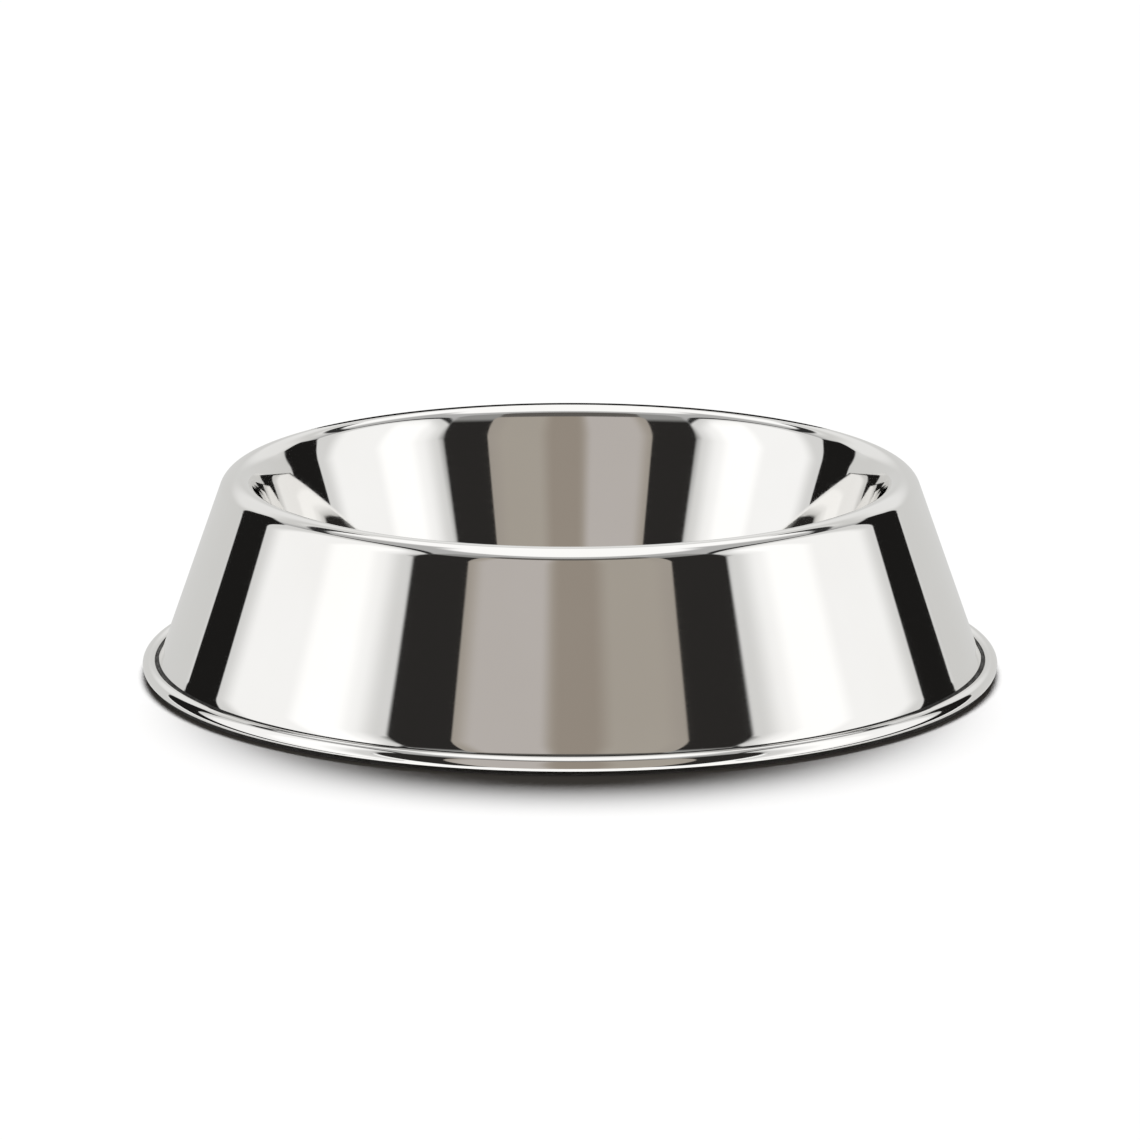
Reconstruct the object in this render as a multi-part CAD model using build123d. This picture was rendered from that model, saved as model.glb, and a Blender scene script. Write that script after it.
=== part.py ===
from build123d import *
import math
import os

# Sizes are in mm and angles in degrees. The bowl stands on z = 0 with +Z up and its axis on Z.

# Overall sizes
base_diameter = 280.0      # over the rolled bead
overall_height = 66.0      # floor to the crest of the rim
sheet = 0.6                # thickness of the steel

# Rim, as radii of the polished face
crest_diameter = 216.2     # circle along the top of the rim
rim_inner_radius = 5.2     # from the crest into the well
rim_outer_radius = 6.5     # from the crest on to the skirt

# Food well
well_taper = 19.0          # lean of the wall from vertical
well_lip_radius = 30.0     # gentle bend at the top of the wall
well_lip_taper = 33.0      # lean of the wall where that bend meets the rim
well_corner_radius = 11.0  # between wall and floor
well_floor_lift = 5.0      # underside of the well above the ground

# Foot of the skirt and the rolled bead
bead_radius = 2.4          # outside of the roll
bead_root_radius = 0.5     # tight fold between skirt and roll
foot_flare_radius = 12.0   # skirt turning out above the fold
foot_flare_tilt = 38.4     # tilt of the face where the flare meets the fold
bead_root_tilt = 140.0     # tilt of the face where the fold meets the roll
bead_edge_tilt = -165.0    # tilt of the face at the cut edge, tucked in under the skirt

# Rubber ring under the bead
ring_web = 0.85            # rubber between the bead and the ground
ring_outer_inset = 1.8     # outer wall of the ring in from the edge of the bead
ring_width = 5.2           # flat tread of the ring
ring_lip_tilt = 188.0      # end of the seat, inside the bead and below its middle
ring_edge_radius = 0.4     # rounded edges of the moulding
seat_clearance = 0.15      # between the bead and its seat

tolerance = 0.001          # closer points count as one


# Section geometry, drawn as radius and height

def facing(tilt):
    """Unit direction at a tilt up from straight outwards."""
    return Vector(math.cos(math.radians(tilt)), math.sin(math.radians(tilt)))


def on_bend(bend, tilt, depth):
    """Point of a bend at a depth under the polished face. A hollow bend has a negative radius."""
    center, radius = bend[0], bend[1]
    return center + facing(tilt) * (radius - depth)


bead_center = Vector(base_diameter / 2 - bead_radius, ring_web + seat_clearance + bead_radius)
root_center = bead_center + facing(bead_root_tilt) * (bead_radius + bead_root_radius)
flare_center = root_center + facing(foot_flare_tilt) * (foot_flare_radius - bead_root_radius)
rim_inner_center = Vector(crest_diameter / 2, overall_height - rim_inner_radius)
rim_outer_center = Vector(crest_diameter / 2, overall_height - rim_outer_radius)

# The skirt is the straight line that touches the rim on one side and the flare on the other
span = flare_center - rim_outer_center
span_tilt = math.atan2(span.Y, span.X)
tangent_turn = math.acos((rim_outer_radius + foot_flare_radius) / span.length)
skirt_tilt = math.degrees(span_tilt + tangent_turn)

# The gentle bend touches the rim and the wall of the well, and the corner touches the wall and the floor
wall_tilt = 180 - well_taper
lip_tilt = 180 - well_lip_taper
lip_center = rim_inner_center + facing(lip_tilt) * (rim_inner_radius - well_lip_radius)
wall_top = lip_center + facing(wall_tilt) * well_lip_radius
well_floor_z = well_floor_lift + sheet
corner_z = well_floor_z + well_corner_radius
wall_foot_z = corner_z - well_corner_radius * facing(wall_tilt).Y
wall_foot_r = wall_top.X - (wall_top.Y - wall_foot_z) * math.tan(math.radians(well_taper))
corner_center = Vector(wall_foot_r + well_corner_radius * facing(wall_tilt).X, corner_z)

# Bends of the sheet from the axis outwards: centre, radius, tilt where it starts, tilt where it ends
bends = [
    (corner_center, -well_corner_radius, 90, wall_tilt),
    (lip_center, well_lip_radius, wall_tilt, lip_tilt),
    (rim_inner_center, rim_inner_radius, lip_tilt, 90),
    (rim_outer_center, rim_outer_radius, 90, skirt_tilt),
    (flare_center, -foot_flare_radius, skirt_tilt, foot_flare_tilt),
    (root_center, -bead_root_radius, foot_flare_tilt, bead_root_tilt),
    (bead_center, bead_radius, bead_root_tilt, bead_edge_tilt),
]


def sheet_face(depth):
    """One face of the sheet as edges from the axis to the cut edge, and the point where it ends."""
    edges = []
    last = Vector(0, well_floor_z - depth)
    for bend in bends:
        tilt_in, tilt_out = bend[2], bend[3]
        start = on_bend(bend, tilt_in, depth)
        middle = on_bend(bend, (tilt_in + tilt_out) / 2, depth)
        end = on_bend(bend, tilt_out, depth)
        if (start - last).length > tolerance:
            edges.append(Line(last, start))
        edges.append(ThreePointArc(start, middle, end))
        last = end
    return edges, last


# Steel shell: both faces of the sheet closed at the axis and at the cut edge, turned about the axis
polished, polished_end = sheet_face(0)
hidden, hidden_end = sheet_face(sheet)
cut_edge = Line(polished_end, hidden_end)
axis_edge = Line((0, well_floor_z), (0, well_floor_z - sheet))
shell_section = make_face(polished + hidden + [cut_edge, axis_edge])
bowl_shell = revolve(Plane.XZ * shell_section, Axis.Z)

# Rubber ring: flat tread below, and above it a hollow seat that follows the bead
seat_radius = bead_radius + seat_clearance
ring_outer_r = base_diameter / 2 - ring_outer_inset
ring_inner_r = ring_outer_r - ring_width
seat_start_tilt = 360 - math.degrees(math.acos((ring_outer_r - bead_center.X) / seat_radius))
seat_start = bead_center + facing(seat_start_tilt) * seat_radius
seat_middle = bead_center + facing((seat_start_tilt + ring_lip_tilt) / 2) * seat_radius
seat_end = bead_center + facing(ring_lip_tilt) * seat_radius
ring_walls = Polyline(
    seat_start,
    (ring_outer_r, 0),
    (ring_inner_r, 0),
    (ring_inner_r, seat_end.Y),
    seat_end,
)
ring_section = make_face(ring_walls.edges() + [ThreePointArc(seat_start, seat_middle, seat_end)])
ring_corners = [v for v in ring_section.vertices() if v.X < ring_inner_r + tolerance or v.Y < tolerance]
ring_section = fillet(ring_corners, ring_edge_radius)
non_slip_ring = revolve(Plane.XZ * ring_section, Axis.Z)

os.makedirs("parts", exist_ok=True)
export_step(bowl_shell, "parts/bowl_shell.step")
export_step(non_slip_ring, "parts/non_slip_ring.step")
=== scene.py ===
import math
from typing import NamedTuple

import bmesh
import bpy
import numpy as np
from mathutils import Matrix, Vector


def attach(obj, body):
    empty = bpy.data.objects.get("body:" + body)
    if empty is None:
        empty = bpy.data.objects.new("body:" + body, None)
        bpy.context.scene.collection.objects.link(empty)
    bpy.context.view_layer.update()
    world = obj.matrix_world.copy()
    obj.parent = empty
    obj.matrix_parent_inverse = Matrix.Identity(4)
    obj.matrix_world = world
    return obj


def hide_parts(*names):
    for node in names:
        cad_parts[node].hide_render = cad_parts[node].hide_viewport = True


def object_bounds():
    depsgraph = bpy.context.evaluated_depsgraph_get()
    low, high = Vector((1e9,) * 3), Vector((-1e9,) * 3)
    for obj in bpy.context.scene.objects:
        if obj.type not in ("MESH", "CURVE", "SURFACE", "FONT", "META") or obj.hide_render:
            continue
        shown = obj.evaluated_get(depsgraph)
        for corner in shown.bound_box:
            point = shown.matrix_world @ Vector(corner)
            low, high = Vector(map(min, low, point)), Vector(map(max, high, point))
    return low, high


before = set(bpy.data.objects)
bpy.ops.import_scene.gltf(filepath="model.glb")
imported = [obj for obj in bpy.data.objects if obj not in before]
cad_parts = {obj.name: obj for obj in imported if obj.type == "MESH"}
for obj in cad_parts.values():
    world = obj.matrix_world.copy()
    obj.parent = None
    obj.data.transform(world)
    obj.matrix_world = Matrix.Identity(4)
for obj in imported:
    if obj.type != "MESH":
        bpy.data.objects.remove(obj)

CAD_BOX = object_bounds()
MM = 0.001

# Outer sizes in mm, from the box of the solids, whose mesh lies a little inside the true circles
BASE_RADIUS = min(abs(v) for corner in CAD_BOX for v in corner[:2]) / MM
HEIGHT = CAD_BOX[1][2] / MM

# Section of the steel, in mm and degrees
SHEET = 0.6
CREST_RADIUS = 108.1
RIM_INNER_RADIUS = 5.2
RIM_OUTER_RADIUS = 6.5
WELL_TAPER = 19.0
WELL_LIP_RADIUS = 30.0
WELL_LIP_TAPER = 33.0
WELL_CORNER_RADIUS = 11.0
WELL_FLOOR_LIFT = 5.0
BEAD_RADIUS = 2.4
BEAD_ROOT_RADIUS = 0.5
BEAD_ROOT_TILT = 140.0
BEAD_EDGE_TILT = -165.0
FOOT_FLARE_RADIUS = 12.0
FOOT_FLARE_TILT = 38.4
# Tilt on the flare where the painted shade of the fold begins
FOLD_SHADE_TILT = 35.5

# Section of the rubber ring, in mm and degrees
RING_WEB = 0.85
RING_OUTER_INSET = 1.8
RING_WIDTH = 5.2
RING_LIP_TILT = 188.0
RING_EDGE_RADIUS = 0.4
SEAT_CLEARANCE = 0.15

# Tilts of plain directions in a section
OUTWARDS = 0
UP = 90
INWARDS = 180
DOWN = -90
FULL_TURN = 360

# Mesh steps, with how far in mm a flat step may lie inside its true bend
TURN_STEPS = 288
FEWEST_STEPS = 3
SAG = 0.004
HIDDEN_SAG = 0.02
AXIS_TOLERANCE = 1e-9

# Material slots of the two pieces
# The third slot is painted shade in the fold
POLISHED, SATIN, PAINTED_SHADE_SLOT = range(3)
RUBBER = 0

# Noise in all materials
NOISE_MIDDLE = (0.35, 0.65)
FULL_RANGE = (0.0, 1.0)
SOFT_DETAIL = 2.0
FINE_DETAIL = 4.0
DUST_DETAIL = 6.0

# Polished steel, with patches and waves per metre, lines per mm and rises in mm
MIRROR_COLORS = ((0.875, 0.868, 0.852), (0.855, 0.845, 0.826))
MIRROR_ROUGHNESS = (0.018, 0.04)
MIRROR_PATCHES = 22.0
MIRROR_LINE_ROUGHNESS = (0.0, 0.016)
MIRROR_ROUGH_LINES = 0.9
MIRROR_RAISED_LINES = 1.4
MIRROR_LINE_RISE = 0.00012
MIRROR_WAVES = 26.0
MIRROR_WAVE_RISE = 0.012

# Satin steel of the underside
SATIN_COLORS = ((0.72, 0.715, 0.705), (0.63, 0.622, 0.61))
SATIN_ROUGHNESS = (0.24, 0.36)
SATIN_PATCHES = 40.0
SATIN_LINE_ROUGHNESS = (0.0, 0.06)
SATIN_LINES = 0.5
SATIN_LINE_RISE = 0.004

# Painted shade in the fold: near-black colours stand in for the shade of the crease, on a dull rough finish
FOLD_SHADE_COLORS = ((0.012, 0.0115, 0.011), (0.03, 0.029, 0.027))
FOLD_ROUGHNESS = (0.5, 0.8)
FOLD_PATCHES = 300.0
FOLD_LINES = 2.0
FOLD_LINE_RISE = 0.002

# Rubber
RUBBER_COLORS = ((0.045, 0.044, 0.042), (0.075, 0.073, 0.07))
RUBBER_ROUGHNESS = (0.72, 0.88)
RUBBER_DUST = 180.0
RUBBER_GRAIN = 4000.0
RUBBER_GRAIN_RISE = 0.02

# Camera, in metres and degrees, with the width of its sensor in mm
CAMERA_DISTANCE = 2.6
CAMERA_ELEVATION = 13.2
CAMERA_AIM_HEIGHT = 0.03325
CAMERA_REACH = 50.0
FOCAL_PIXELS = 7949.0
IMAGE_PIXELS = 1140.0
SENSOR_WIDTH = 36.0

# Floor, room, dark card behind the bowl, and lamps, in metres and degrees
FLOOR_HALF = 12.0
FLOOR_DROP = 0.00005
ROOM_HALF = (1.5, 5.0, 5.0)
ROOM_SEGMENTS = (64, 32)
FLAG_RADIUS = 0.2
FLAG_TURN = 28.0
FLAG_STEPS = 40
FLAG_FOOT = 0.055
FLAG_HEIGHT = 0.09
FLAG_REACH = 0.13
KEY_STRENGTH = 4.37
KEY_SPREAD = 22.0
KEY_RISE = 49.5
KEY_TURNS = (-13.0, 0.0, 13.0)

# Colours of the stage
WHITE = (1.0, 1.0, 1.0)
FLOOR_WHITE = (0.93, 0.93, 0.93)
FILL = (0.045, 0.041, 0.037)
BLACK = (0.012, 0.0115, 0.011)
GAP_BLACK = (0.03, 0.03, 0.03)
FRAME_BLACK = (0.025, 0.0235, 0.0225)
FRAME_TOP = (0.3, 0.3, 0.295)
CARD_TOP = (0.115, 0.108, 0.1)
CARD_EDGE = (0.385, 0.35, 0.31)
CARD_RIGHT = (0.412, 0.376, 0.33)
CARD_LEFT = (0.514, 0.48, 0.457)
# Darker stripe down the middle of the card: painted shadow of the camera
CARD_CAMERA_SHADOW = (0.327, 0.286, 0.243)
HAZE = (0.48, 0.48, 0.48)
BACK_LOW = (0.68, 0.68, 0.67)
BACK_HIGH = (0.86, 0.86, 0.855)
BOX_EDGE = (0.74, 0.74, 0.735)
BOX = (1.04, 1.04, 1.04)
BOX_CORE = (1.18, 1.18, 1.18)
CEILING = (1.12, 1.12, 1.12)


class Panel(NamedTuple):
    """Panel of the room by its angles from the bowl: turn from the front, and rise from the floor."""

    color: tuple
    turns: tuple
    rises: tuple
    corner: tuple      # half axes of the oval corners
    fade: float        # share of the corner over which the panel fades
    lean: float = 0.0  # lean of the sides away from the front per degree of rise


# Panels on both sides of the bowl, laid over each other in this order under a bright ceiling
PANEL_FOOT = -60
PANELS = [
    Panel(HAZE, (-145, 145), (20, 72), (20, 5), 1.0),
    Panel(BACK_LOW, (124, 236), (PANEL_FOOT, 48), (8, 10), 1.0),
    Panel(BACK_HIGH, (132, 228), (12, 40), (12, 10), 1.0),
    Panel(GAP_BLACK, (108, 162), (42, 48), (10, 2.5), 0.6),
    Panel(GAP_BLACK, (50, 122), (PANEL_FOOT, 59.5), (36, 22), 0.06),
    Panel(BOX_EDGE, (50, 122), (PANEL_FOOT, 55.5), (36, 22), 0.06),
    Panel(BOX, (54.2, 111.4), (PANEL_FOOT, 54.5), (28.6, 20), 0.3),
    Panel(BOX_CORE, (62, 84.7), (PANEL_FOOT, 50), (6, 10), 1.0),
    Panel(BLACK, (109.9, 129.3), (PANEL_FOOT, 34), (3, 10), 0.25, 0.25),
    Panel(BLACK, (110.6, 131.5), (5, 31), (10, 13), 0.15, 0.25),
    Panel(FRAME_TOP, (-56, 56), (20, 60), (6, 8), 0.6),
    Panel(CARD_TOP, (-34, 34), (20, 60), (5, 5), 0.4),
    Panel(FRAME_BLACK, (-50.2, 50.2), (PANEL_FOOT, 49.5), (2, 7), 0.8, 0.11),
]

# Grey card in the front frame, and the shades on it, where a negative turn is to the left; the darker middle
# stripe is a painted shadow of the camera
CARD = Panel(CARD_EDGE, (-32, 32), (PANEL_FOOT, 51), (3, 5), 0.25, 0.07)
CARD_SHADES = [
    Panel(CARD_RIGHT, (-33, 32), (PANEL_FOOT, 60), (6, 10), 1.0),
    Panel(CARD_LEFT, (-33, -3), (PANEL_FOOT, 60), (6, 10), 1.0),
    # Painted shadow of the camera down the middle of the card
    Panel(CARD_CAMERA_SHADOW, (-9.5, 13.5), (PANEL_FOOT, 70), (7, 10), 1.0),
]


# Sections, drawn as radius and height

def facing(tilt):
    """Unit direction in the section at a tilt up from straight outwards."""
    return np.array([math.cos(math.radians(tilt)), math.sin(math.radians(tilt))])


class Section:
    """A section drawn stretch by stretch. Each stretch keeps its own normals and material slot."""

    def __init__(self, start):
        self.points = [np.array(start, float)]
        self.stretches = []

    def add(self, point, normal_in, normal_out, slot):
        """Flat step to a point."""
        self.stretches.append((normal_in, normal_out, slot))
        self.points.append(np.array(point, float))

    def line(self, end, normal, slot):
        """Straight stretch. It is left out where the section is already there."""
        if not np.allclose(self.points[-1], end):
            self.add(end, normal, normal, slot)

    def arc(self, center, radius, tilts, slot, side=1, sag=SAG):
        """Round stretch between two tilts. A negative radius puts it on the other side of its centre.

        The normal follows the tilt, and side -1 turns it round.
        """
        step = 2 * math.degrees(math.acos(1 - sag / abs(radius)))
        steps = max(FEWEST_STEPS, math.ceil(abs(tilts[1] - tilts[0]) / step))
        stops = [tilts[0] + (tilts[1] - tilts[0]) * i / steps for i in range(steps + 1)]
        for before, after in zip(stops, stops[1:]):
            point = np.array(center) + facing(after) * radius
            self.add(point, facing(before) * side, facing(after) * side, slot)


def bead_center():
    """Middle of the rolled bead."""
    return np.array([BASE_RADIUS - BEAD_RADIUS, RING_WEB + SEAT_CLEARANCE + BEAD_RADIUS])


def steel_bends(well_floor):
    """Bends of the sheet from the axis outwards: centre, radius, tilts at both ends, material slot."""
    bead = bead_center()
    root = bead + facing(BEAD_ROOT_TILT) * (BEAD_RADIUS + BEAD_ROOT_RADIUS)
    flare = root + facing(FOOT_FLARE_TILT) * (FOOT_FLARE_RADIUS - BEAD_ROOT_RADIUS)
    rim_inner = np.array([CREST_RADIUS, HEIGHT - RIM_INNER_RADIUS])
    rim_outer = np.array([CREST_RADIUS, HEIGHT - RIM_OUTER_RADIUS])

    # The skirt is the straight line that touches the rim on one side and the flare on the other
    span = flare - rim_outer
    touch = math.acos((RIM_OUTER_RADIUS + FOOT_FLARE_RADIUS) / math.hypot(*span))
    skirt_tilt = math.degrees(math.atan2(span[1], span[0]) + touch)

    # The gentle bend touches the rim and the wall of the well, and the corner touches the wall and the floor
    wall_tilt = INWARDS - WELL_TAPER
    lip_tilt = INWARDS - WELL_LIP_TAPER
    lip = rim_inner + facing(lip_tilt) * (RIM_INNER_RADIUS - WELL_LIP_RADIUS)
    wall_top = lip + facing(wall_tilt) * WELL_LIP_RADIUS
    corner_z = well_floor + WELL_CORNER_RADIUS
    wall_foot_z = corner_z - WELL_CORNER_RADIUS * facing(wall_tilt)[1]
    wall_foot_r = wall_top[0] - (wall_top[1] - wall_foot_z) * math.tan(math.radians(WELL_TAPER))
    corner = np.array([wall_foot_r + WELL_CORNER_RADIUS * facing(wall_tilt)[0], corner_z])

    return [
        (corner, -WELL_CORNER_RADIUS, (UP, wall_tilt), POLISHED),
        (lip, WELL_LIP_RADIUS, (wall_tilt, lip_tilt), POLISHED),
        (rim_inner, RIM_INNER_RADIUS, (lip_tilt, UP), POLISHED),
        (rim_outer, RIM_OUTER_RADIUS, (UP, skirt_tilt), POLISHED),
        # The foot of the flare and the root bend carry the painted shade of the fold
        (flare, -FOOT_FLARE_RADIUS, (skirt_tilt, FOLD_SHADE_TILT), POLISHED),
        (flare, -FOOT_FLARE_RADIUS, (FOLD_SHADE_TILT, FOOT_FLARE_TILT), PAINTED_SHADE_SLOT),
        (root, -BEAD_ROOT_RADIUS, (FOOT_FLARE_TILT, BEAD_ROOT_TILT), PAINTED_SHADE_SLOT),
        (bead, BEAD_RADIUS, (BEAD_ROOT_TILT, BEAD_EDGE_TILT), POLISHED),
    ]


def steel_section():
    """Polished face from the axis out to the cut edge, and the hidden face back to the axis."""
    well_floor = WELL_FLOOR_LIFT + SHEET
    bends = steel_bends(well_floor)
    section = Section((0, well_floor))
    for center, radius, (tilt_in, tilt_out), slot in bends:
        section.line(center + facing(tilt_in) * radius, facing(tilt_in), slot)
        section.arc(center, radius, (tilt_in, tilt_out), slot)
    cut_edge_end = bead_center() + facing(BEAD_EDGE_TILT) * (BEAD_RADIUS - SHEET)
    section.line(cut_edge_end, facing(BEAD_EDGE_TILT - UP), SATIN)
    for center, radius, (tilt_in, tilt_out), _ in reversed(bends):
        hidden_radius = radius - SHEET
        section.line(center + facing(tilt_out) * hidden_radius, -facing(tilt_out), SATIN)
        section.arc(center, hidden_radius, (tilt_out, tilt_in), SATIN, -1, HIDDEN_SAG)
    section.line((0, well_floor - SHEET), facing(DOWN), SATIN)
    return section


def ring_section():
    """Flat tread, rounded edges and a hollow seat that follows the bead."""
    bead = bead_center()
    seat = BEAD_RADIUS + SEAT_CLEARANCE
    outer = BASE_RADIUS - RING_OUTER_INSET
    inner = outer - RING_WIDTH
    edge = RING_EDGE_RADIUS
    seat_tilt = FULL_TURN - math.degrees(math.acos((outer - bead[0]) / seat))
    lip = bead + facing(RING_LIP_TILT) * seat
    section = Section(bead + facing(seat_tilt) * seat)
    section.line((outer, edge), facing(OUTWARDS), RUBBER)
    section.arc((outer - edge, edge), edge, (OUTWARDS, DOWN), RUBBER)
    section.line((inner + edge, 0), facing(DOWN), RUBBER)
    section.arc((inner + edge, edge), edge, (DOWN, -INWARDS), RUBBER)
    section.line((inner, lip[1] - edge), facing(INWARDS), RUBBER)
    section.arc((inner + edge, lip[1] - edge), edge, (INWARDS, UP), RUBBER)
    section.line(lip, facing(UP), RUBBER)
    section.arc(bead, seat, (RING_LIP_TILT, seat_tilt), RUBBER, -1)
    return section


# Meshes

def new_mesh(name, vertices, faces, materials):
    """Mesh from plain lists."""
    mesh = bpy.data.meshes.new(name)
    mesh.from_pydata(vertices, [], faces)
    for material in materials:
        mesh.materials.append(material)
    return mesh


def new_object(name, data):
    """Object in the scene for a mesh, a lamp or a camera."""
    item = bpy.data.objects.new(name, data)
    bpy.context.scene.collection.objects.link(item)
    return item


def turned_points(points, angles):
    """Vertices of a section turned about Z, and their numbers for each point of it.

    A point on the axis is one vertex.
    """
    vertices = []
    circles = []
    for r, z in points:
        first = len(vertices)
        if r < AXIS_TOLERANCE:
            circles.append([first] * len(angles))
            vertices.append((0.0, 0.0, z * MM))
        else:
            circles.append(list(range(first, first + len(angles))))
            vertices += [(r * MM * math.cos(a), r * MM * math.sin(a), z * MM) for a in angles]
    return vertices, circles


def turned(name, section, materials):
    """Piece made by turning a section about Z, with exact normals."""
    closed = np.allclose(section.points[0], section.points[-1])
    points = section.points[:-1] if closed else section.points
    angles = np.arange(TURN_STEPS) * 2 * math.pi / TURN_STEPS
    vertices, circles = turned_points(points, angles)
    faces = []
    slots = []
    normals = []
    for i, (normal_in, normal_out, slot) in enumerate(section.stretches):
        start = circles[i]
        end = circles[(i + 1) % len(points)]
        for j in range(TURN_STEPS):
            k = (j + 1) % TURN_STEPS
            corners = [
                (start[j], normal_in, angles[j]),
                (end[j], normal_out, angles[j]),
                (end[k], normal_out, angles[k]),
                (start[k], normal_in, angles[k]),
            ]
            kept = [c for n, c in enumerate(corners) if c[0] != corners[n - 1][0]]
            faces.append([vertex for vertex, _, _ in kept])
            slots.append(slot)
            normals += [(r * math.cos(a), r * math.sin(a), z) for _, (r, z), a in kept]
    mesh = new_mesh(name, vertices, faces, materials)
    mesh.polygons.foreach_set("material_index", slots)
    mesh.polygons.foreach_set("use_smooth", [True] * len(faces))
    mesh.normals_split_custom_set(normals)
    mesh.update()
    return new_object(name, mesh)


# Materials

class Nodes:
    """Short calls for building a node tree."""

    def __init__(self, tree):
        self.tree = tree
        tree.nodes.clear()

    def add(self, kind, **values):
        """New node, with values for its sockets or its settings."""
        node = self.tree.nodes.new(kind)
        for name, value in values.items():
            if name in node.inputs:
                node.inputs[name].default_value = value
            else:
                setattr(node, name, value)
        return node

    def link(self, output, socket):
        self.tree.links.new(output, socket)

    def feed(self, socket, value):
        """Links an output to a socket, or sets a plain value on it."""
        if isinstance(value, bpy.types.NodeSocket):
            self.link(value, socket)
        elif socket.type == "RGBA":
            socket.default_value = (*value, 1)
        else:
            socket.default_value = value

    def math(self, operation, *values):
        node = self.add("ShaderNodeMath", operation=operation)
        for socket, value in zip(node.inputs, values):
            self.feed(socket, value)
        return node.outputs[0]

    def vector(self, operation, *values, output="Vector"):
        node = self.add("ShaderNodeVectorMath", operation=operation)
        for socket, value in zip(node.inputs, values):
            self.feed(socket, value)
        return node.outputs[output]

    def split(self, vector):
        """X, Y and Z of a vector."""
        node = self.add("ShaderNodeSeparateXYZ")
        self.link(vector, node.inputs[0])
        return node.outputs[0], node.outputs[1], node.outputs[2]

    def join(self, x, y=0.0):
        """Vector with a given X and Y."""
        node = self.add("ShaderNodeCombineXYZ")
        self.feed(node.inputs[0], x)
        self.feed(node.inputs[1], y)
        return node.outputs[0]

    def mix(self, factor, first, second):
        """Mixes two colours."""
        node = self.add("ShaderNodeMix", data_type="RGBA")
        for name, value in (("Factor_Float", factor), ("A_Color", first), ("B_Color", second)):
            self.feed(next(i for i in node.inputs if i.identifier == name), value)
        return next(o for o in node.outputs if o.identifier == "Result_Color")

    def remap(self, value, before, after, style="LINEAR"):
        """Carries a value from one range to another."""
        node = self.add("ShaderNodeMapRange", interpolation_type=style)
        for name, number in zip(("From Min", "From Max", "To Min", "To Max"), (*before, *after)):
            node.inputs[name].default_value = number
        self.link(value, node.inputs["Value"])
        return node.outputs[0]

    def show(self, shader, kind="ShaderNodeOutputMaterial"):
        """Sends a shader to the output of the tree."""
        self.link(shader.outputs[0], self.add(kind).inputs[0])


def new_material(name):
    """Material with an empty node tree."""
    material = bpy.data.materials.new(name)
    material.use_nodes = True
    return material, Nodes(material.node_tree)


def spin_lines(n, per_mm):
    """Fine noise that changes only across the section, as on a bowl polished while it turns."""
    x, y, z = n.split(n.add("ShaderNodeTexCoord").outputs["Object"])
    radius = n.math("SQRT", n.math("ADD", n.math("MULTIPLY", x, x), n.math("MULTIPLY", y, y)))
    along = n.math("SUBTRACT", radius, z)
    noise = n.add("ShaderNodeTexNoise", noise_dimensions="1D", Scale=per_mm / MM, Detail=SOFT_DETAIL)
    n.link(along, noise.inputs["W"])
    return noise.outputs[0]


def cloud(n, per_metre, detail=SOFT_DETAIL):
    """Soft noise in space."""
    noise = n.add("ShaderNodeTexNoise", Scale=per_metre, Detail=detail)
    n.link(n.add("ShaderNodeTexCoord").outputs["Object"], noise.inputs["Vector"])
    return noise.outputs[0]


def spread(n, noise, limits):
    """Stretches the middle of a noise to a range."""
    return n.remap(noise, NOISE_MIDDLE, limits)


def bump(n, height, rise_mm, normal=None):
    """Raises the surface by up to a height in mm."""
    node = n.add("ShaderNodeBump", Strength=1.0, Distance=rise_mm * MM)
    n.link(height, node.inputs["Height"])
    if normal:
        n.link(normal, node.inputs["Normal"])
    return node.outputs[0]


def surface(n, color, roughness, normal, metallic):
    """Main shader of a material, with its output."""
    shader = n.add("ShaderNodeBsdfPrincipled", Metallic=metallic)
    n.link(color, shader.inputs["Base Color"])
    n.link(roughness, shader.inputs["Roughness"])
    n.link(normal, shader.inputs["Normal"])
    n.show(shader)


def polished_steel():
    """Mirror polish with faint turned lines, wiped patches and a slight wave in the sheet."""
    material, n = new_material("polished_steel")
    patches = cloud(n, MIRROR_PATCHES, FINE_DETAIL)
    color = n.mix(spread(n, patches, FULL_RANGE), *MIRROR_COLORS)
    wiped = spread(n, patches, MIRROR_ROUGHNESS)
    lined = spread(n, spin_lines(n, MIRROR_ROUGH_LINES), MIRROR_LINE_ROUGHNESS)
    waves = bump(n, cloud(n, MIRROR_WAVES), MIRROR_WAVE_RISE)
    normal = bump(n, spin_lines(n, MIRROR_RAISED_LINES), MIRROR_LINE_RISE, waves)
    surface(n, color, n.math("ADD", wiped, lined), normal, metallic=1.0)
    return material


def satin_steel():
    """Press finish of the underside: duller, with plain drawing lines."""
    material, n = new_material("satin_steel")
    lines = spin_lines(n, SATIN_LINES)
    color = n.mix(spread(n, lines, FULL_RANGE), *SATIN_COLORS)
    patchy = spread(n, cloud(n, SATIN_PATCHES, FINE_DETAIL), SATIN_ROUGHNESS)
    lined = spread(n, lines, SATIN_LINE_ROUGHNESS)
    normal = bump(n, lines, SATIN_LINE_RISE)
    surface(n, color, n.math("ADD", patchy, lined), normal, metallic=1.0)
    return material


def painted_fold_shade():
    """Painted shade in the tight fold above the bead and on the foot of the flare: a near-black colour for
    the shade of the crease, on dull steel where no polish reaches.
    """
    material, n = new_material("painted_fold_shade")
    lines = spin_lines(n, FOLD_LINES)
    color = n.mix(spread(n, lines, FULL_RANGE), *FOLD_SHADE_COLORS)
    roughness = spread(n, cloud(n, FOLD_PATCHES, FINE_DETAIL), FOLD_ROUGHNESS)
    normal = bump(n, lines, FOLD_LINE_RISE)
    surface(n, color, roughness, normal, metallic=0.0)
    return material


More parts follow.
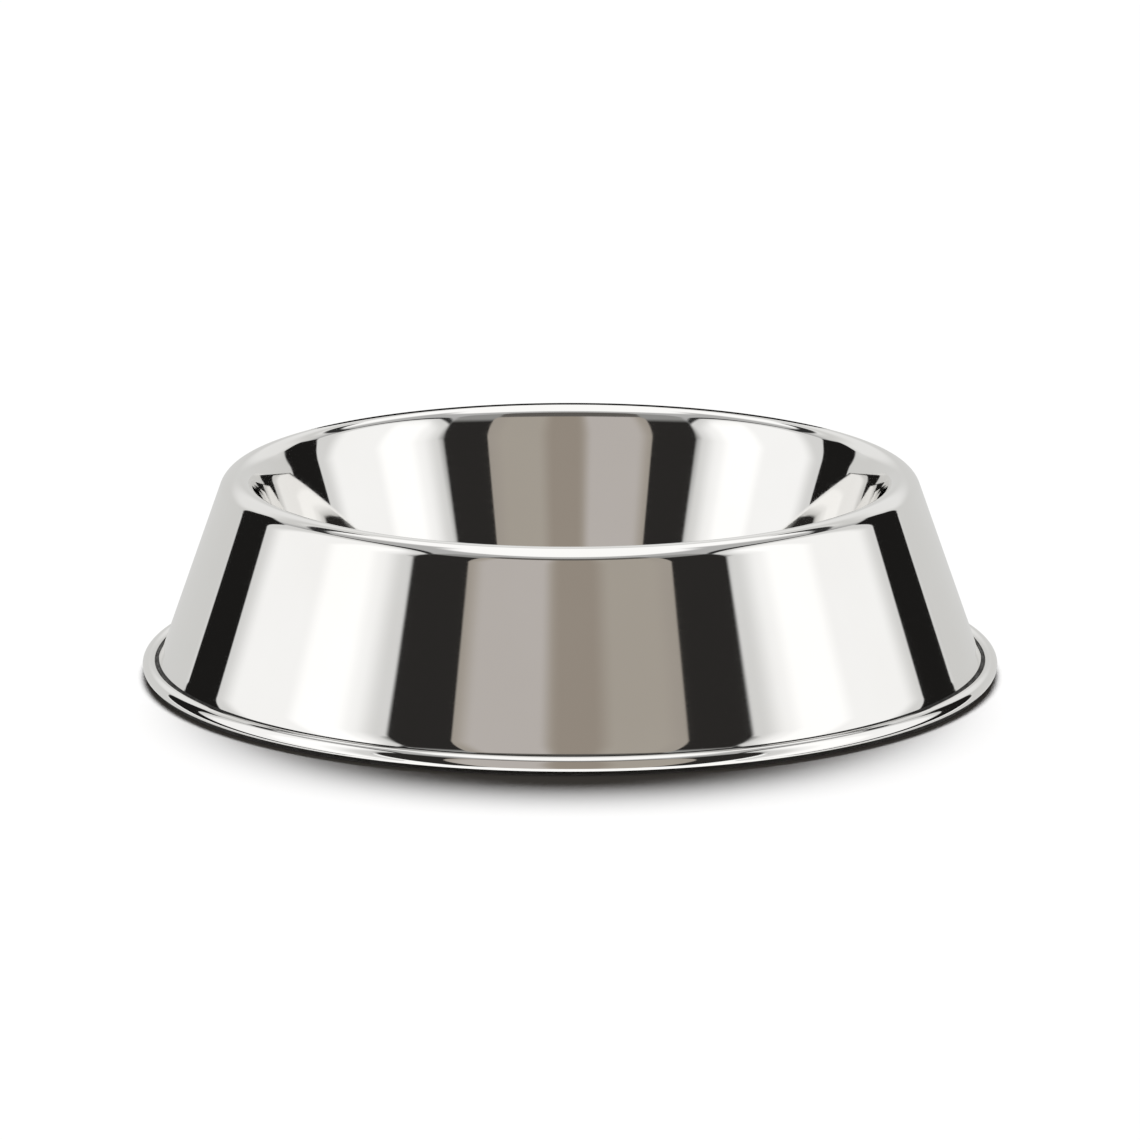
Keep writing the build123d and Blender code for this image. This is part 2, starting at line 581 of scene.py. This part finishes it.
def ring_rubber():
    """Matt moulded rubber with a fine grain and a little dust."""
    material, n = new_material("ring_rubber")
    dust = cloud(n, RUBBER_DUST, DUST_DETAIL)
    color = n.mix(spread(n, dust, FULL_RANGE), *RUBBER_COLORS)
    roughness = spread(n, dust, RUBBER_ROUGHNESS)
    normal = bump(n, cloud(n, RUBBER_GRAIN), RUBBER_GRAIN_RISE)
    surface(n, color, roughness, normal, metallic=0.0)
    return material


# Stage

def studio_world():
    """Plain white to the camera and a dim fill to matt surfaces."""
    world = bpy.data.worlds.new("studio")
    bpy.context.scene.world = world
    world.use_nodes = True
    n = Nodes(world.node_tree)
    background = n.add("ShaderNodeBackground")
    plain = n.mix(n.add("ShaderNodeLightPath").outputs["Is Camera Ray"], FILL, WHITE)
    n.link(plain, background.inputs["Color"])
    n.show(background, "ShaderNodeOutputWorld")


def seen_in_steel(n):
    """1 for a view by way of steel alone, and 0 for the rest."""
    rays = n.add("ShaderNodeLightPath").outputs
    mirrored = n.math("MAXIMUM", rays["Is Glossy Ray"], rays["Is Transmission Ray"])
    straight = n.math("SUBTRACT", 1.0, n.math("MINIMUM", rays["Diffuse Depth"], 1.0))
    return n.math("MULTIPLY", mirrored, straight)


def panel_mask(n, place, panel):
    """1 inside a panel and 0 outside. place holds turn and rise."""
    if panel.lean:
        _, rise, _ = n.split(place)
        place = n.vector("SUBTRACT", place, n.join(n.math("MULTIPLY", rise, panel.lean)))
    left, right = panel.turns
    low, high = panel.rises
    middle = ((left + right) / 2, (low + high) / 2, 0)
    straight = ((right - left) / 2 - panel.corner[0], (high - low) / 2 - panel.corner[1], 0)
    away = n.vector("ABSOLUTE", n.vector("SUBTRACT", place, middle))
    outside = n.vector("MAXIMUM", n.vector("SUBTRACT", away, straight), (0, 0, 0))
    distance = n.vector("LENGTH", n.vector("DIVIDE", outside, (*panel.corner, 1)), output="Value")
    return n.remap(distance, (1, 1 - panel.fade), FULL_RANGE, "SMOOTHSTEP")


def room_panels():
    """Glow of the panels, by direction from the bowl."""
    material, n = new_material("studio_room")
    x, y, z = n.split(n.vector("NORMALIZE", n.add("ShaderNodeNewGeometry").outputs["Position"]))
    turn = n.math("DEGREES", n.math("ARCTAN2", x, n.math("MULTIPLY", y, -1.0)))
    rise = n.math("DEGREES", n.math("ARCSINE", z))
    one_side = n.join(turn, rise)
    both_sides = n.join(n.math("ABSOLUTE", turn), rise)
    room = CEILING
    for panel in PANELS:
        room = n.mix(panel_mask(n, both_sides, panel), room, panel.color)
    card = CARD.color
    for shade in CARD_SHADES:
        card = n.mix(panel_mask(n, one_side, shade), card, shade.color)
    room = n.mix(panel_mask(n, both_sides, CARD), room, card)
    glow = n.add("ShaderNodeEmission")
    n.link(n.mix(seen_in_steel(n), FILL, room), glow.inputs["Color"])
    n.show(glow)
    material.cycles.emission_sampling = "NONE"
    return material


def show_in_steel_alone(piece):
    """Makes a stage piece that the steel mirrors and nothing else shows."""
    piece.visible_camera = False
    piece.visible_diffuse = False
    piece.visible_shadow = False


def studio_room():
    """Oval room with the bowl in the middle and its side panels nearest."""
    mesh = bpy.data.meshes.new("studio_room")
    ball = bmesh.new()
    across, upright = ROOM_SEGMENTS
    bmesh.ops.create_uvsphere(ball, u_segments=across, v_segments=upright, radius=1)
    bmesh.ops.scale(ball, vec=ROOM_HALF, verts=ball.verts)
    ball.to_mesh(mesh)
    ball.free()
    mesh.materials.append(room_panels())
    show_in_steel_alone(new_object("studio_room", mesh))


def flag_black():
    """Matt black that shows only in steel within reach."""
    material, n = new_material("back_flag")
    matt = n.add("ShaderNodeBsdfDiffuse", Color=(*BLACK, 1))
    clear = n.add("ShaderNodeBsdfTransparent")
    both = n.add("ShaderNodeMixShader")
    length = n.add("ShaderNodeLightPath").outputs["Ray Length"]
    n.link(n.math("LESS_THAN", length, FLAG_REACH), both.inputs[0])
    n.link(clear.outputs[0], both.inputs[1])
    n.link(matt.outputs[0], both.inputs[2])
    n.show(both)
    return material


def back_flag():
    """Curved card behind the bowl with an oval top, for the dark line along the far rim."""
    points = []
    for share in np.linspace(-1, 1, FLAG_STEPS + 1):
        turn = math.radians(share * FLAG_TURN)
        x = FLAG_RADIUS * math.sin(turn)
        y = FLAG_RADIUS * math.cos(turn)
        top = FLAG_FOOT + FLAG_HEIGHT * math.sqrt(1 - share ** 2)
        points += [(x, y, FLAG_FOOT), (x, y, top)]
    faces = [(2 * i, 2 * i + 2, 2 * i + 3, 2 * i + 1) for i in range(FLAG_STEPS)]
    mesh = new_mesh("back_flag", points, faces, [flag_black()])
    show_in_steel_alone(new_object("back_flag", mesh))


def studio_floor():
    """Matt floor just below the tread, which keeps the shadow. The steel sees past it to the panels."""
    material, n = new_material("studio_floor")
    n.show(n.add("ShaderNodeBsdfDiffuse", Color=(*FLOOR_WHITE, 1)))
    sides = ((-1, -1), (1, -1), (1, 1), (-1, 1))
    corners = [(x * FLOOR_HALF, y * FLOOR_HALF, -FLOOR_DROP) for x, y in sides]
    floor = new_object("studio_floor", new_mesh("studio_floor", corners, [(0, 1, 2, 3)], [material]))
    floor.visible_glossy = False


def key_lights():
    """Broad soft light from behind and above, so that the shadow falls towards the camera."""
    for number, turn in enumerate(KEY_TURNS):
        name = f"key_light_{number}"
        lamp = bpy.data.lights.new(name, "SUN")
        lamp.energy = KEY_STRENGTH / len(KEY_TURNS)
        lamp.angle = math.radians(KEY_SPREAD)
        key = new_object(name, lamp)
        key.rotation_euler = (math.radians(KEY_RISE) - math.pi / 2, 0, math.radians(turn))
        key.visible_glossy = False


def front_camera():
    """Camera in front of the bowl and a little above it, far away."""
    camera = bpy.data.cameras.new("camera")
    camera.sensor_width = SENSOR_WIDTH
    camera.lens = SENSOR_WIDTH * FOCAL_PIXELS / IMAGE_PIXELS
    camera.clip_end = CAMERA_REACH
    view = new_object("camera", camera)
    rise = math.radians(CAMERA_ELEVATION)
    height = CAMERA_AIM_HEIGHT + CAMERA_DISTANCE * math.sin(rise)
    view.location = (0, -CAMERA_DISTANCE * math.cos(rise), height)
    view.rotation_euler = (math.pi / 2 - rise, 0, 0)
    bpy.context.scene.camera = view


# The two pieces

# The third material paints the shade of the fold
steel = turned("steel_shell", steel_section(), [polished_steel(), satin_steel(), painted_fold_shade()])
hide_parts("bowl_shell")
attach(steel, "bowl")

ring = turned("rubber_ring", ring_section(), [ring_rubber()])
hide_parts("non_slip_ring")
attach(ring, "ring")

# The stage round them

studio_world()
studio_room()
back_flag()
studio_floor()
key_lights()
front_camera()
bpy.context.scene.view_settings.view_transform = "Standard"
